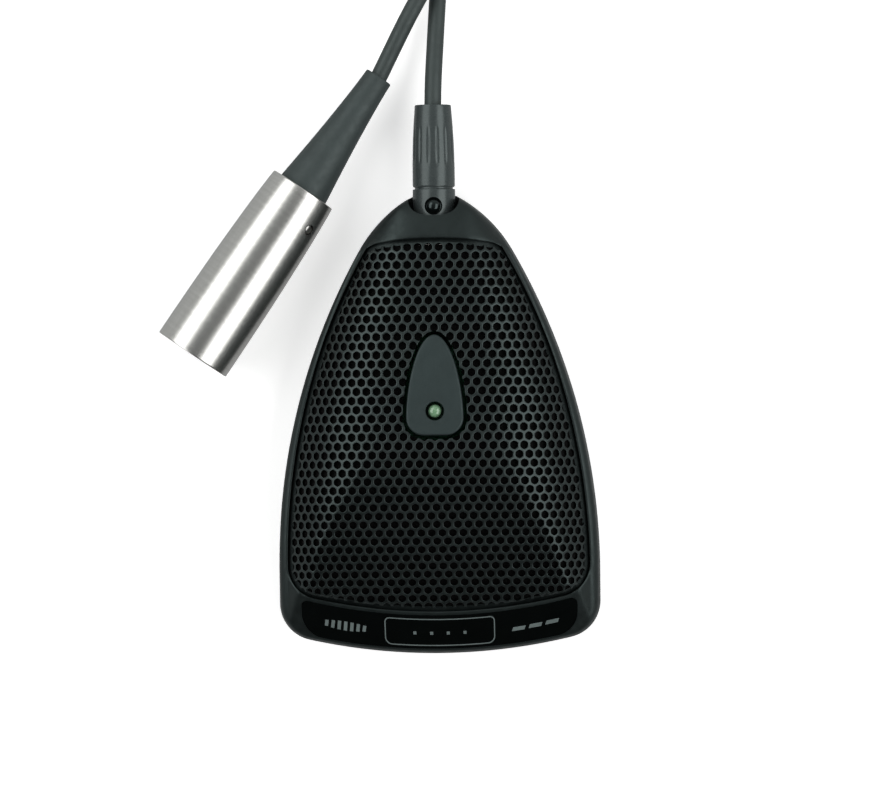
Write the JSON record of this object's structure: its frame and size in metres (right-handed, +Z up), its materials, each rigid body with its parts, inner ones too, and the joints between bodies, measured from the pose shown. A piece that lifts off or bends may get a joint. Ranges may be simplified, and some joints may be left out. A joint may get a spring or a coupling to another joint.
{
  "type": "desktop boundary microphone",
  "caption": "Low desktop boundary microphone with domed perforated grille, push key, plug-in cable loop and in-line three-pin connector.",
  "frame": {"origin": "on the desk plane, under the middle of the housing's width, near the middle of its length", "axes": "+Z up; the push key faces -Y; the cable leaves towards +Y; the connector lies on the -X side"},
  "size_m": [0.1056, 0.2252, 0.0244],
  "materials": {
    "housing_paint": "satin black enamel on cast zinc",
    "grille_paint": "satin black enamel on perforated steel",
    "liner_foam": "matt black acoustic foam",
    "zinc_steel": "zinc plated steel",
    "base_rubber": "matt moulded rubber",
    "plug_satin": "satin grey black",
    "overlay_gloss": "gloss black film",
    "bezel_grey": "matt moulded",
    "light_lens": "clear green tint",
    "board_laminate": "solder resist on laminate",
    "component_plastic": "moulded black",
    "can_aluminium": "bright drawn",
    "contact_gold": "gold plated",
    "satin_nickel": "satin nickel, brushed round the barrel",
    "cable_jacket": "matt dark grey jacket",
    "boot_rubber": "matt dark grey moulded",
    "slider_white": "moulded white"
  },
  "bodies": {
    "base": {"housing": "housing_paint", "base_plate": "zinc_steel", "base_pad": "base_rubber", "base_screw_1": "zinc_steel", "base_screw_2": "zinc_steel", "base_screw_3": "zinc_steel", "base_screw_4": "zinc_steel", "board_post_1": "can_aluminium", "board_post_2": "can_aluminium", "board_post_3": "can_aluminium", "board_post_4": "can_aluminium", "circuit_board": "board_laminate", "preamp_chip": "component_plastic", "capacitor_1": "can_aluminium", "capacitor_2": "can_aluminium", "mode_switch": "component_plastic", "capsule": "can_aluminium", "capsule_holder": "base_rubber", "grille": "grille_paint", "grille_liner": "liner_foam", "indicator_bezel": "bezel_grey", "light_pipe": "light_lens", "light_chip": "light_lens", "label_overlay": "overlay_gloss", "contact_sheet": "board_laminate", "snap_dome": "zinc_steel", "jack_shell": "satin_nickel", "jack_nut": "satin_nickel", "jack_insert": "component_plastic", "jack_pin_1": "contact_gold", "jack_pin_2": "contact_gold", "jack_pin_3": "contact_gold", "jack_pin_4": "contact_gold"},
    "push_key": {"push_key": "overlay_gloss"},
    "mode_slider_1": {"mode_slider_1": "slider_white"},
    "mode_slider_2": {"mode_slider_2": "slider_white"},
    "mode_slider_3": {"mode_slider_3": "slider_white"},
    "plug": {"plug_shell": "plug_satin", "plug_insert": "component_plastic", "plug_sleeve": "plug_satin", "latch_spring": "zinc_steel", "cable_end_plug": "cable_jacket"},
    "latch": {"latch_button": "overlay_gloss"},
    "cable": {"cable": "cable_jacket"},
    "xlr": {"xlr_shell": "satin_nickel", "xlr_insert": "component_plastic", "xlr_pin_1": "satin_nickel", "xlr_pin_2": "satin_nickel", "xlr_pin_3": "satin_nickel", "xlr_clamp": "component_plastic", "xlr_boot": "boot_rubber", "xlr_screw": "satin_nickel", "cable_end_xlr": "cable_jacket"}
  },
  "joints": [
    {"name": "key_press", "type": "slide", "parent": "base", "child": "push_key", "axis": [0, 0.545, -0.8384], "range_m": [0, 0.0003], "stiffness_N_per_m": 900},
    {"name": "mode_slide_1", "type": "slide", "parent": "base", "child": "mode_slider_1", "axis": [0, 1, 0], "range_m": [0, 0.0018]},
    {"name": "mode_slide_2", "type": "slide", "parent": "base", "child": "mode_slider_2", "axis": [0, 1, 0], "range_m": [0, 0.0018]},
    {"name": "mode_slide_3", "type": "slide", "parent": "base", "child": "mode_slider_3", "axis": [0, 1, 0], "range_m": [0, 0.0018]},
    {"name": "plug_withdraw", "type": "slide", "parent": "base", "child": "plug", "axis": [0, 1, 0], "range_m": [0, 0.012]},
    {"name": "latch_press", "type": "slide", "parent": "plug", "child": "latch", "axis": [0, 0, -1], "range_m": [0, 0.0009], "stiffness_N_per_m": 900},
    {"name": "cable_flex", "type": "hinge", "parent": "plug", "child": "cable", "pos_m": [0, 0.0764, 0.0093], "axis": [0, 0, 1], "range_deg": [-20, 5]},
    {"name": "connector_flex", "type": "hinge", "parent": "cable", "child": "xlr", "pos_m": [-0.01285, 0.08334, 0.00787], "axis": [0, 0, 1], "range_deg": [-25, 5]}
  ]
}
